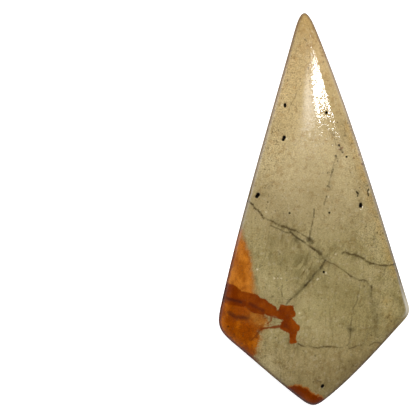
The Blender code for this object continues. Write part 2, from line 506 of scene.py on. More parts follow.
wall_turn = turn[rim_order] % 1.0
columns = len(rim_order)
foot_out = outline.at(wall_turn, 0.0)
rim_in = top_plan[rim_order]
wall_rows = []
for level in WALL_HEIGHTS:
    down = (GIRDLE - level) / (GIRDLE - BACK_BEVEL)
    plan = rim_in + (foot_out - rim_in) * down
    wall_rows.append(np.column_stack([plan, np.full(columns, level)]))
for inset, level in (BEVEL_MIDDLE, (BACK_INSET, 0.0)):
    wall_rows.append(np.column_stack([outline.at(wall_turn, inset), np.full(columns, level)]))
wall = np.concatenate(wall_rows)

back_rings, back_turn, back_quads, back_order = ringed_grid(BACK_CELLS)
back_share = 1 - back_rings / (BACK_CELLS / 2)
back_edge = outline.at(back_turn, BACK_INSET)
back_plan = middle + BACK_SHARE * back_share[:, None] * (back_edge - middle)
back = np.column_stack([back_plan, np.zeros(len(back_plan))])

points = np.concatenate([top, wall, back])
row_starts = len(top) + columns * np.arange(len(wall_rows))
row_numbers = [rim_order] + [start + np.arange(columns) for start in row_starts]
wall_quads = np.concatenate(
    [
        np.stack([low, np.roll(low, -1), np.roll(high, -1), high], 1)
        for high, low in zip(row_numbers, row_numbers[1:])
    ]
)
back_start = len(top) + len(wall)
ring_a, ring_b = row_numbers[-1], back_start + back_order
even, odd, after = ring_a[0::2], ring_a[1::2], np.roll(ring_a, -2)[0::2]
next_b = np.roll(ring_b, -1)
stitches = np.concatenate(
    [
        np.stack([even, ring_b, odd], 1),
        np.stack([odd, next_b, after], 1),
        np.stack([odd, ring_b, next_b], 1),
    ]
)
stone = mesh_object(
    "jasper_stone",
    points,
    np.concatenate([top_quads, wall_quads, back_quads[:, ::-1] + back_start]),
    stitches,
)

# The pattern of the stone, in mm in the plane of the dome. Healed cracks, pits, specks and
# veins are lines and dots: half width, strength, and x and y of each place on the line.


def dots(half_width, *rows):
    """Marks at one place each, all of one half width, from rows of x, y and strength."""
    return tuple((half_width, strength, x, y) for x, y, strength in rows)


MAIN_FRACTURES = (
    (0.095, 0.95, -6.5, 0.7, -6.1, 0.4, -6, 0.1, -5.7, -0.05, -5.4, -0.35, -5.2, -0.7, -5.1, -0.95),
    (0.075, 0.75, -5.2, -0.75, -4.9, -0.9, -4.6, -1.1, -4.2, -1.2),
    (0.11, 0.85, -4.2, -1.2, -3.8, -1.45, -3.3, -1.7, -2.8, -1.8, -2.4, -2.05, -1.9, -2.14),
    (0.07, 0.55, -1.9, -2.14, -1.05, -2.63, -0.4, -3.03),
    (0.095, 0.8, -0.25, -3.8, 0.4, -4.3, 0.7, -4.56),
    (0.065, 0.6, 0.7, -4.56, 0.9, -5, 1.6, -5.4, 2, -5.5, 2.4, -5.8, 2.9, -6.1, 3.3, -6.4),
    (0.085, 0.8, 3.3, -6.4, 3.6, -6.7, 4.1, -6.9, 4.5, -7.1, 5, -7.05, 5.2, -7.2, 5.4, -7.5, 5.7, -7.8),
    (0.11, 0.85, 2.8, -4.4, 3.1, -4.3, 3.5, -4.5, 4, -4.55, 4.4, -4.7, 4.8, -4.9),
    (0.12, 0.85, 4.8, -4.9, 5.2, -5.2, 5.6, -5.4),
    (0.08, 0.85, 5.6, -5.4, 6.1, -5.5, 6.6, -5.6, 7.3, -5.65, 7.8, -5.55, 8.2, -5.45),
    (0.08, 0.8, -1.6, -13.4, -1.3, -13.6, -1, -13.7, -0.6, -13.6, -0.1, -13.8, 0.4, -13.85, 0.8, -13.7,
        1.7, -13.7),
    (0.065, 0.55, 1.7, -13.7, 2.4, -13.8, 2.8, -13.8),
    (0.07, 0.6, 3.5, -13.9, 3.9, -13.8, 4.2, -13.6, 4.7, -13.55),
    (0.065, 0.6, 5.5, -13.6, 5.7, -13.45, 6, -13.3, 6.4, -13.3, 6.6, -13.4),
    (0.06, 0.45, -1.2, 12.6, -1.45, 12.1, -1.75, 11.7, -1.95, 11.1, -2.2, 10.7, -2.45, 10.2, -2.55, 9.7),
    (0.06, 0.5, 0.9, 8.5, 1.2, 8.2, 1.5, 7.8, 1.85, 7.4, 2.1, 7.3),
    (0.075, 0.36, 2.2, 5.33, 1.94, 4.53, 1.74, 3.7, 1.4, 2.3),
)
BRANCH_FRACTURES = (
    (0.095, 0.75, 1.1, -5.1, 0.8, -5.5, 0.6, -5.9, 0.3, -6.2, -0.1, -6.6, -0.3, -7, -0.8, -7.5),
    (0.1, 1, -0.8, -7.5, -1.3, -8, -1.7, -8.4, -2.1, -8.8, -2.5, -9.1, -2.8, -9.5),
    (0.065, 0.55, -4.36, -1.64, -3.8, -1.9, -3.44, -2.03, -3, -2.3, -2.64, -2.37),
    (0.095, 0.85, -2.4, -2.3, -2.05, -2.6, -1.7, -2.9, -1.1, -3.25, -0.5, -3.7, 0, -4.05),
    (0.05, 0.5, 3.1, -4, 3.2, -4.4),
    (0.055, 0.5, 7.1, -5.7, 7, -6.1, 6.95, -6.5),
    (0.06, 0.5, 5.7, -7.6, 5.7, -8.1, 5.6, -8.7),
    (0.07, 0.5, 4.5, -7.9, 4.35, -8.4, 4.25, -9.1, 4.1, -9.5, 3.9, -9.8, 3.8, -10.2),
    (0.068, 0.5, 3.75, -10.7, 3.7, -11.1, 3.6, -11.6, 3.6, -12.3, 3.55, -12.8, 3.45, -13.3, 3.3, -13.6),
    (0.05, 0.35, 2, 7.05, 2.1, 6.4, 2.47, 6.4, 2.8, 5.7),
    (0.05, 0.35, 2.7, 8.5, 3, 8.25, 3.05, 7.45, 3.2, 7.2),
    (0.075, 0.4, 1.2, 1.35, 0.94, 0.4),
    (0.075, 0.6, 0, -0.1, -0.2, -1.4, -0.45, -2.4, -0.52, -3.1),
    (0.05, 0.3, -2.4, 10.6, -1.8, 10.1),
    (0.05, 0.35, -4.1, -2.8, -3.9, -3.5),
    (0.06, 0.55, -3.2, -7.6, -3.3, -8.1, -3.2, -8.7, -2.9, -9),
    (0.05, 0.4, -3.4, -15.7, -3.35, -16.3, -3.4, -17.1),
    (0.05, 0.25, -4.9, 2.3, -4.2, 2.8),
)
SOFT_FRACTURES = (
    (0.21, 0.75, -0.55, -3.05, -0.25, -3.25),
    (0.18, 0.75, 0.4, -4.28, 0.65, -4.5),
    (0.3, 0.16, 5.7, -8, 5.7, -8.5, 5.65, -9, 5.8, -9.3, 6, -9.9, 6, -10.7, 6.1, -12.1),
    (0.23, 0.6, 3.45, -11.85, 3.8, -12),
    (0.15, 0.5, -1.95, -3, -1.65, -3.3),
    (0.15, 0.35, 1, -5.3, 0.4, -6.1, -0.2, -6.8, -0.9, -7.6, -1.7, -8.4),
)
FINE_CRACKS = (
    (0.045, 0.4, 6.3, -7, 6.6, -6.95),
    (0.045, 0.4, 1.1, -6.6, 1.5, -6.7),
    (0.045, 0.45, 0.3, -4.3, 0.6, -4.8, 0.5, -5.3, 0.8, -5.7),
    (0.045, 0.4, -0.1, -4.7, 0.4, -5, 1, -4.9, 1.4, -4.5),
    (0.045, 0.35, 1.2, -4.1, 1.3, -4.7, 1.6, -5.1),
    (0.045, 0.3, -1.1, -4.6, -0.8, -5.3, -1, -6.1),
    (0.045, 0.3, -0.4, -4.5, -0.2, -5.3, -0.5, -6.1),
)
# The pits' near black is partly their dark mineral and partly painted shade in their hollows
PITS_DARK = (
    (0.128, 1, -2.93, 10.41, -2.93, 10.23),
    (0.132, 1, 1.21, 9.62, 1.17, 9.56),
    (0.172, 1, -3, 7.15, -3, 7.12),
    (0.145, 1, -3.1, 6.94, -3.11, 6.9),
    (0.185, 1, -5.6, 1.45, -5.64, 1.38),
    (0.175, 1, -5.7, 1.3, -5.74, 1.24),
    (0.168, 1, 4.61, 0.46, 4.59, 0.28),
    (0.12, 1, 0.92, -6.28),
    (0.14, 1, 0.84, -17.59, 0.77, -17.71),
    (0.11, 0.85, -2.48, -0.4),
    (0.11, 0.9, 1.48, -0.37),
    (0.115, 0.95, 3.2, 5.2),
    (0.12, 0.85, 2.45, 6.35),
    (0.095, 0.85, 4.2, 1.7, 4.35, 1.55),
    (0.08, 0.8, 4.3, 1.3),
    (0.085, 0.8, 5.4, 1.95, 5.32, 1.8),
    (0.085, 0.8, 5.34, 1.55, 5.4, 1.35),
    (0.1, 0.7, -8.6, -11.7),
)
DARK_SPECKS = (
    *dots(0.075, (-4.65, 0.7, 0.6), (-4.18, 7.67, 0.6), (1.3, 3.6, 0.6), (1.2, 1.2, 0.75),
        (4.5, 2.1, 0.7), (1.3, 2.3, 0.6), (1.5, 2.2, 0.55), (1.85, 3.9, 0.6), (1.75, 3.65, 0.6)),
    *dots(0.09, (2.15, 5.3, 0.7)),
    *dots(0.075, (2.3, 4.75, 0.6)),
    *dots(0.09, (2.8, 5.65, 0.75)),
    *dots(0.075, (-0.05, 0, 0.5), (0, -0.8, 0.5), (1, -0.65, 0.5), (5.15, -1.75, 0.7), (4.2, -2.3, 0.4),
        (3.8, -1.1, 0.4), (-3.9, -0.2, 0.4), (-5.9, -0.9, 0.5), (-4.8, 0.1, 0.5), (-4.95, 2.1, 0.6),
        (-3.15, 5, 0.5), (-3.8, 4.7, 0.45), (-4, 4.3, 0.45), (-4.5, 3.95, 0.5), (-4.6, 6.05, 0.4),
        (-5, 5.75, 0.4), (-3.8, 6.8, 0.5), (-3.8, 6.45, 0.45), (-1.85, 12.7, 0.45), (-2.7, 12.4, 0.4),
        (-2.25, 12.3, 0.4), (1.8, 8.65, 0.5)),
    *dots(0.085, (2.3, 8.65, 0.65)),
    *dots(0.09, (3.35, 8.55, 0.7), (4.5, 5.9, 0.7), (5.3, 2.35, 0.65)),
    *dots(0.085, (4.85, 4.5, 0.6), (6.1, -0.8, 0.55), (3.7, 6.5, 0.6), (2.6, 5.9, 0.6)),
    *dots(0.08, (2.05, 7.75, 0.55), (3, 7.3, 0.5), (5.75, 0.6, 0.5), (6.6, -2.6, 0.5)),
    *dots(0.075, (0.9, 14.65, 0.5), (-0.6, 14.13, 0.6), (-0.6, 13.95, 0.5), (0.15, 12.85, 0.6),
        (-0.95, 16.9, 0.55), (-0.8, 16.75, 0.5), (0.6, 16.05, 0.5), (-1.4, 16.4, 0.45),
        (-1.8, 15.75, 0.4), (-0.85, 19.5, 0.6), (-5.2, -5.6, 0.5), (-5.4, -5.8, 0.45), (-3.5, -4.5, 0.5),
        (-3.4, -5.5, 0.45), (-2.8, -6.1, 0.5), (-2.7, -7.1, 0.45), (-4.8, -7.5, 0.5), (-4.9, -7.8, 0.45),
        (-4.2, -8.7, 0.5), (-7.3, -11.3, 0.35), (-1.1, -14.15, 0.5), (0.1, -14.6, 0.5), (7.3, -10.8, 0.6),
        (7.5, -10.6, 0.6), (7.7, -11.2, 0.6), (7.2, -9.5, 0.5), (5.4, -12.4, 0.5), (5.7, -12.6, 0.5),
        (6.3, -12.8, 0.5), (0.7, -8.9, 0.45), (0.4, -9.6, 0.4), (2.1, -9.4, 0.45), (2.2, -7.5, 0.4),
        (5, -7.7, 0.45), (0.3, -17.1, 0.55), (-0.1, -17.2, 0.5), (0.6, -17.25, 0.6), (3.4, -15.2, 0.45),
        (3.9, -15.6, 0.45), (-3.9, -12.8, 0.6), (-3.6, -13.3, 0.5), (-5.1, -13.6, 0.5), (-4.3, 2.6, 0.4),
        (-4.2, 2.3, 0.35)),
)
RUST_SPECKS = (
    *dots(0.11, (4.46, 5.42, 0.85), (3.95, 5.1, 0.85), (4.77, 4.45, 0.85), (2.5, 5.97, 0.85),
        (2.75, 6.1, 0.85)),
    *dots(0.075, (-3.7, 10.75, 0.5), (-3.15, 11.95, 0.5), (3.65, 7.85, 0.5), (3.85, 6.55, 0.5),
        (1.35, 12.8, 0.5), (0.8, 15.3, 0.5), (1.1, 15.2, 0.35), (-0.1, 17.1, 0.4), (0.2, 16.7, 0.45),
        (-1.6, 17.7, 0.35), (0.8, -15.8, 0.5), (-3.1, 6.3, 0.4)),
)
PALE_SPECKS = (
    *dots(0.09, (-5.7, -6, 0.6), (-4, -6.9, 0.5), (-3.3, -6.9, 0.5), (-1.5, -10.4, 0.6), (0.3, -7, 0.5),
        (2.1, -4.5, 0.4), (-4.8, -0.3, 0.4), (5.47, 1.7, 0.5), (-0.2, 17.7, 0.3), (1.4, 1.2, 0.4),
        (-3.25, 10.35, 0.4), (-2.75, 7, 0.45), (1.14, -6.35, 0.5)),
)
DARK_VEINS = (
    (0.13, 0.6, -8.8, -8.85, -8.4, -9, -7.8, -9.15, -7.3, -9.25),
    (0.15, 0.55, -6.4, -9.45, -5.9, -9.7, -5.4, -10, -5.1, -10.1),
    (0.17, 0.5, -8.5, -10.3, -8, -10.65, -7.4, -10.8, -6.6, -10.8),
    (0.075, 0.35, -6.3, -13.1, -5.8, -12.7, -5.5, -12.2),
)
RED_VEINS = (
    (0.08, 0.8, -4.8, -10.45, -4.2, -10.7, -3.5, -10.9),
    (0.075, 0.7, -4.3, -10.7, -4.3, -11.1, -4.7, -11.45),
    (0.16, 0.9, -3.3, -11.65, -3.8, -11.73, -4.2, -11.8),
    (0.1, 0.9, -4.2, -11.8, -4.8, -11.85, -5.4, -12),
    (0.055, 0.5, -5.4, -12, -5.8, -12.5, -6.3, -13.1),
)

# Soft stains and clouds: the reach over which each fades, its strength and its line
OLIVE_FANS = (
    (0.9, 0.6, -1.4, -5.5, -0.8, -6.7),
    (0.45, 0.4, 0.6, -5.8, -1, -7.6, -2.2, -8.9),
    (0.7, 0.25, 0.8, -3.7, 3.1, -4.3),
    (0.5, 0.3, 3.1, -4.4, 5.2, -5.2),
    (0.5, 0.4, -3.8, -1.5, -1.4, -2.5),
)
SPECKLED_PLACES = (
    (2, 1, -2.9, 14.9, -5.2, 4.9),
    (2.2, 1, 6.6, -2.1, 7.6, -5.6),
    (2.5, 0.45, 7.4, -7.1, 6.1, -11.1),
    (1.6, 0.6, 3.4, 7.9, 5.6, 1.4),
    (1.75, 0.5, -7.4, -12.1, -3.9, -16.1),
    (1.25, 0.3, -6.4, -3.1, -3.9, -7.6),
)
OLIVE_STAINS = (
    (0.225, 0.75, -0.55, -3, -0.2, -3.25),
    (0.175, 0.8, 0.4, -4.25, 0.6, -4.5),
    (0.3, 0.45, -1.8, -3.1, -1.5, -3.7),
    (0.35, 0.3, 0.3, -4.1, 0.9, -4.9, 1.6, -5.7),
    (0.3, 0.28, 5.7, -8.1, 5.8, -9.1, 6.1, -10.3),
    (0.4, 0.36, 6, -10.5, 6.2, -11.3, 6.3, -12.9),
    (0.25, 0.7, 3.55, -11.6, 3.7, -12),
    (0.2, 0.3, -4.4, 2.3, -5.2, 1.3),
    (0.25, 0.25, 4.1, 1.7, 5.2, 1.7),
    (0.3, 0.25, 1.8, 7.6, 2.6, 5.9, 2.1, 4.4, 1.4, 2.1),
)
RED_STAINS = (
    (0.2, 0.6, -2.9, -11.6, -2.8, -11.7),
    (0.25, 0.45, -8.8, -10.4, -7.8, -10.9, -6.8, -10.9),
    (0.25, 0.35, -9, -8.9, -7.2, -9.3),
    (0.35, 0.35, -5.2, -10.6, -4, -11.1),
    (0.3, 0.25, -5.2, -11.9, -6.2, -12.9),
)
# Most dark clouds are the rock's mottling; those along the right side and the lower right are painted
# shade where the dome turns away from the light
DARK_CLOUDS_AND_SHADE = (
    (1.2, 0.5, -1.3, -5.2, -0.8, -7),
    (1.5, 0.25, 0.4, -7.2, 3.2, -7.6, 5, -8.6, 5.2, -11),
    (1, 0.6, 7.9, -4.1, 8.6, -7.1, 8.8, -9.6, 7.6, -12.1),
    (0.7, 0.45, 4.6, 4.4, 6.2, 0.4, 7.2, -2.6),
    (0.8, 0.4, 2.8, 8.4, 3.8, 5.9),
    (0.9, 0.2, -0.4, 4.6, 1.4, 3.2),
    (1.2, 0.35, -4.2, 0.9, -2.6, -1.2),
    (1.1, 0.4, -3.6, -3.1, -2.8, -5.6),
    (1, 0.3, 2.6, -7.6, 3.8, -9.1),
    (0.8, 0.5, -5.2, -8.7, -2.9, -9.2, -2, -9.4),
    (0.6, 0.5, -2.6, -13.1, -1.8, -13.5),
    (1.4, 0.5, 2.4, -17, 3.6, -16, 4.6, -14.6),
)
# Most pale clouds are the rock's mottling; the strong one at the lower left is painted light where the
# dome slopes away from the lamps
PALE_CLOUDS_AND_LIGHT = (
    (1.2, 0.5, -5.4, -7.3, -4.2, -8.3, -2.6, -9),
    (1.3, 0.8, -5.8, -13.5, -4.8, -15, -3.2, -16.2),
    (1.3, 0.35, -0.9, -9.6, -0.4, -11.8, 0.9, -12),
    (0.9, 0.2, 2, -11.2, 3.2, -13.2),
    (1.2, 0.35, -0.6, 13.4, -1.2, 10.4),
    (1.2, 0.5, 3.1, -6.1, 5.4, -6.3, 7.1, -6.7),
    (1, 0.4, 5.2, -0.6, 6.2, -4.1, 6.2, -9.1),
    (1.3, 0.45, 1.1, 4.4, 3.1, 2.4, 4.4, -0.1),
    (1, 0.4, -2.2, 16.9, -1.4, 14.9),
    (1.2, 0.25, -3.4, 0.4, -0.4, -0.3, 2.6, -1.1),
)
GOLD_IN_ORANGE = (
    (0.6, 0.75, -6, -10.7, -5.2, -11.3),
    (0.35, 0.5, -6.2, -7.4, -5.8, -8.1),
    (0.4, 0.45, -5.6, -12.7, -5.8, -14.1),
)
GOLD_STAINS = (
    (0.5, 0.5, -6, -10.7, -5.2, -11.3),
    (0.4, 0.25, 5.2, 1.7, 7, -3.4, 8, -6.6),
    (0.35, 0.35, 3.3, 8.2, 5, 2.9),
    (0.45, 0.15, 7.1, -9.1, 7.8, -11.6),
)

# The coloured patches: x and y of each corner of their outlines
ORANGE_UPPER = (
    -7.6, -1.7, -7.3, -2.1, -7.1, -3.1, -6.8, -3.6, -6.7, -4.1, -6.4, -4.6, -6.3, -5.1, -6.25, -5.8,
    -6.2, -6.6, -6.15, -7.4, -6.1, -8.1, -5.9, -8.8, -5.8, -9.3, -7.8, -9.3, -10, -8.7, -10, -7.4,
    -9.2, -4.1, -8.6, -1.7,
)
RED_BAND = (
    -10.2, -7.1, -8.6, -7.4, -8.2, -7.5, -7.7, -7.75, -7.4, -8.05, -7.2, -8.2, -6.7, -8.3, -6.4, -8.4,
    -6, -8.45, -5.7, -8.6, -5.4, -8.8, -5, -8.95, -4.7, -9.1, -4.4, -9.4, -4.1, -9.5, -3.85, -9.65,
    -3.7, -10.1, -3.5, -9.8, -3.4, -9.5, -2.8, -9.6, -2.1, -9.55, -2, -10, -1.8, -10.4, -1.9, -10.7,
    -2.25, -10.8, -2, -11.1, -1.8, -11.4, -1.4, -11.7, -1.5, -12, -1.7, -12.2, -1.75, -12.6, -1.85, -13,
    -1.7, -13.3, -1.9, -13.4, -2.3, -13.45, -2.5, -13.3, -2.5, -12.4, -2.9, -12.2, -3.3, -12,
    -3.45, -11.85, -3.4, -11.6, -3.3, -11.3, -3.2, -11.1, -3.5, -11, -3.8, -10.75, -4.2, -10.65,
    -4.6, -10.55, -5.2, -10.5, -5.8, -10.4, -6.4, -10.2, -6.8, -9.8, -7.4, -9.7, -8.2, -9.6, -8.8, -9.4,
    -9.2, -9.2, -10.6, -8.8,
)
ORANGE_LOWER = (
    -10.9, -8.5, -9.2, -9, -7.4, -9, -6.4, -9.4, -5.6, -9.8, -5, -10.3, -4.9, -10.9, -4.9, -11.5,
    -5.2, -11.8, -5.4, -12.2, -5.5, -12.9, -5.6, -13.6, -5.7, -14.1, -5.9, -14.6, -6, -15.3, -8.4, -15.3,
    -10.9, -12.1,
)
FOOT_PATCH = (
    -3.4, -17.85, -2.7, -17.8, -2.3, -17.7, -1.7, -17.6, -1.2, -17.7, -0.8, -17.9, -0.5, -18.1,
    -0.2, -18.4, 0.2, -18.6, 0.7, -18.65, 0.9, -18.8, 1.1, -19.1, 1.6, -20.1, -1.4, -20.6, -4.4, -19.1,
)

# The pattern slants a little as it goes down through the stone, so it is read at each
# point's own place in the plane of the dome
SLANT = (0.25, -0.15)
# How far round a mark its strength is kept: in half widths, and in mm for the grid's cells
MARK_REACH = 2.2
CELL_REACH = 0.22
FARTHEST_INSIDE = 2.0
NO_LENGTH = 1e-12

# The rim, where shade and a grey reflection are painted: how far in from the dome's rim its
# colour and its dullness reach, the line that divides its left side from its right, and the height
# in y above which each is lighter
RIM_SHADE_REACH = 0.12
DULL_REACH = 0.25
EDGE_DIVIDE = 2.0
LIGHTER_FROM_LEFT = -4.5
LIGHTER_FROM_RIGHT = -11.0
LIGHTER_CHANGE = 2.0
# The painted white reflection of the table on the edge by the sharper side corner: its reach, where
# in y it sets in, its share
TABLE_REFLECTION_REACH = 2.3
TABLE_REFLECTION_FROM = (-10.9, -10.3)
TABLE_REFLECTION_SHARE = 0.8
# Reflection: in full, and the shares lost at the low edge and towards the narrow point, the
# heights in y between which the latter sets in, and the depth at which a pit has none
FULL_REFLECTION = 0.5
LOW_EDGE_LOSS = 0.9
POINT_LOSS = 0.8
POINT_LOSS_FROM = (12.8, 16.0)
BLACK_PIT_DEPTH = 0.05
LOWER_HALF_FROM = (3.0, -4.0)
# How strong the grain and its specks are away from the speckled places, and how much more in
# the middle of one
SPECKLED_LEAST = 0.25
SPECKLED_MORE = 0.3


def from_line(start, end, place):
    """The offset of each point from the nearest place on a straight line."""
    run = end - start
    along = np.clip((place - start) @ run / max(run @ run, NO_LENGTH), 0, 1)
    return place - start - along[:, None] * run


def line_pieces(places):
    """The starts and ends of a line's straight pieces, or a dot's one place as both."""
    places = np.reshape(places, (-1, 2))
    return zip(places[:-1], places[1:]) if len(places) > 1 else zip(places, places)


def mark_offsets(marks, place):
    """For each point the offset to the nearest mark, in half widths of that mark, and its strength.

    A mark is a line through its places, or a dot at its one place. The offset changes evenly
    across a mark, so its edge stays sharp between points. Beyond the mark the strength is 0.
    """
    nearest = np.full(len(place), np.inf)
    result = np.zeros((len(place), 3))
    for half_width, strength, *places in marks:
        for start, end in line_pieces(places):
            to = from_line(start, end, place)
            away = np.hypot(*to.T)
            here = strength * (away < MARK_REACH * half_width + CELL_REACH)
            closer = away < nearest
            nearest = np.where(closer, away, nearest)
            result[closer] = np.column_stack([to / half_width, here])[closer]
    return result


def soft_marks(marks, place):
    """The strength of soft stains: each falls off from its line like a bell curve."""
    total = np.zeros(len(place))
    for reach, strength, *places in marks:
        away = [np.hypot(*from_line(start, end, place).T) for start, end in line_pieces(places)]
        total = np.maximum(total, strength * bell(np.min(away, axis=0), reach))
    return total


def inside(corners, place):
    """The distance in mm to a closed shape's edge, positive inside, up to FARTHEST_INSIDE."""
    corners = np.reshape(corners, (-1, 2))
    nearest = np.full(len(place), FARTHEST_INSIDE)
    crossings = np.zeros(len(place), dtype=int)
    for start, end in zip(corners, np.roll(corners, -1, axis=0)):
        nearest = np.minimum(nearest, np.hypot(*from_line(start, end, place).T))
        run = end - start
        spans = (start[1] > place[:, 1]) != (end[1] > place[:, 1])
        rise = run[1] if abs(run[1]) > NO_LENGTH else NO_LENGTH
        crossing = start[0] + (place[:, 1] - start[1]) / rise * run[0]
        crossings += spans & (place[:, 0] < crossing)
    return np.where(crossings % 2 == 1, nearest, -nearest)


def ramp(values, start, full):
    """The share of the way from start to full, between 0 and 1."""
    return np.clip((values - start) / (full - start), 0, 1)


def store(name, kind, values):
    """Keeps values on the stone's points as an attribute for the materials to read."""
    layer = stone.data.attributes.new(name, kind, "POINT")
    field = "vector" if kind == "FLOAT_VECTOR" else "value"
    layer.data.foreach_set(field, np.asarray(values, dtype=np.float32).ravel())


x, y = points[:, 0], points[:, 1]
on_top, on_wall = slice(0, len(top)), slice(len(top), back_start)
top_inset = smooth_inset(top_plan, rim)
# The outer band of the dome's rim and the whole edge, where shade is painted
edge = np.zeros(len(points))
edge[on_top], edge[on_wall] = bell(top_inset, RIM_SHADE_REACH), 1
lighter_from = np.where(x > EDGE_DIVIDE, LIGHTER_FROM_RIGHT, LIGHTER_FROM_LEFT)
lighter = ramp(y, lighter_from, lighter_from + LIGHTER_CHANGE)
table_reflection_spot = bell(np.hypot(x - SIDE_CORNER[0], y - SIDE_CORNER[1]), TABLE_REFLECTION_REACH)
unpolished = np.ones(len(points))
unpolished[on_top] = bell(top_inset, DULL_REACH)
in_pit = np.zeros(len(points))
in_pit[on_top] = ramp(pit_depth(top_plan), 0, BLACK_PIT_DEPTH)
kept_polish = (1 - LOW_EDGE_LOSS * unpolished * (1 - lighter)) * (1 - in_pit)
kept_polish *= 1 - POINT_LOSS * ramp(y, *POINT_LOSS_FROM)
pattern_place = points[:, :2] + np.outer(np.maximum(GIRDLE - points[:, 2], 0), SLANT)

for name, values in (
    ("rim_shade_grey_reflection", edge * lighter),
    ("rim_shade_low", edge * (1 - lighter) * (1 - table_reflection_spot)),
    ("rim_table_reflection", TABLE_REFLECTION_SHARE * edge * table_reflection_spot * ramp(y, *TABLE_REFLECTION_FROM)),
    ("polish", FULL_REFLECTION * kept_polish),
    ("whole", np.ones(len(points))),
    ("lower_half", ramp(y, *LOWER_HALF_FROM)),
    ("speckled", SPECKLED_LEAST + SPECKLED_MORE * soft_marks(SPECKLED_PLACES, pattern_place)),
):
    store(name, "FLOAT", values)
for name, marks in (
    ("main_fractures", MAIN_FRACTURES),
    ("branch_fractures", BRANCH_FRACTURES),
    ("soft_fractures", SOFT_FRACTURES),
    ("fine_cracks", FINE_CRACKS),
    ("open_pits", PITS_DARK),
    ("dark_specks", DARK_SPECKS),
    ("rust_specks", RUST_SPECKS),
    ("pale_specks", PALE_SPECKS),
    ("dark_veins", DARK_VEINS),
    ("red_veins", RED_VEINS),
):
    store(name, "FLOAT_VECTOR", mark_offsets(marks, pattern_place))
for name, marks in (
    ("olive_fan", OLIVE_FANS),
    ("olive_stain", OLIVE_STAINS),
    ("red_stain", RED_STAINS),
    ("dark_cloud_and_shade", DARK_CLOUDS_AND_SHADE),
    ("pale_cloud_and_light", PALE_CLOUDS_AND_LIGHT),
    ("gold_in_orange", GOLD_IN_ORANGE),
    ("gold_stain", GOLD_STAINS),
):
    store(name, "FLOAT", soft_marks(marks, pattern_place))
for name, patch in (
    ("orange_upper", ORANGE_UPPER),
    ("orange_lower", ORANGE_LOWER),
    ("red_band", RED_BAND),
    ("foot_patch", FOOT_PATCH),
):
    store(name, "FLOAT", inside(patch, pattern_place))

# The colour of the rock. Its tan to olive ground is mottled by its grains, iron has stained
# it orange and red, and dark films fill its healed cracks. Shade, light and reflections are also
# painted into it: at the rim, towards the foot, in the pits and in some clouds.

# The ground from the foot at 0 to the point at 1, over GROUND_REACH mm either way
GROUND_REACH = 20
# Its darkening towards the foot is partly the rock's olive tone and partly painted shade
GROUND_AND_SHADE_COLOURS = (
    (0.00, "#86764F"),
    (0.12, "#98875D"),
    (0.22, "#9F9163"),
    (0.38, "#9A8C5F"),
    (0.50, "#A4936A"),
    (0.62, "#B7A479"),
    (0.80, "#C0A777"),
    (0.90, "#BDA274"),
    (1.00, "#B2945F"),
)
ORANGE_LIGHT = "#BA7022"
ORANGE_DEEP = "#9A5412"
RED_LIGHT = "#853D04"
RED_DEEP = "#6C2A02"
VEIN_COLOUR = "#3C1A12"

# Sizes in mm of the noises for the light and dark of the grains, for the wandering of edges
# with them, for the raggedness and the faintness of cracks, and for the relief. Real grains
# are finer and would be lost between the picture's points, so they are drawn at these.
GRAIN_SIZE = 0.13
WANDER_SIZE = 0.5
RAGGED_SIZE = 0.22
FAINT_SIZE = 0.8
RIPPLE_SIZE = 0.18
# The light and dark of the grains: how strong away from a speckled place, and in one
GRAIN_DEPTHS = (0.95, 2.3)
# The noise values at which a crack is at its faintest, and whole
FAINT_VALUES = (0.38, 0.54)

# Each crystal takes the polish at its own small angle, which gives the highlights a
# sparkling fringe. Crystals are drawn 0.12 mm across, because finer ones would be lost.
CRYSTAL_SIZE = 0.12
CRYSTAL_TILT = 0.038
QUARTZ_IOR = 1.54

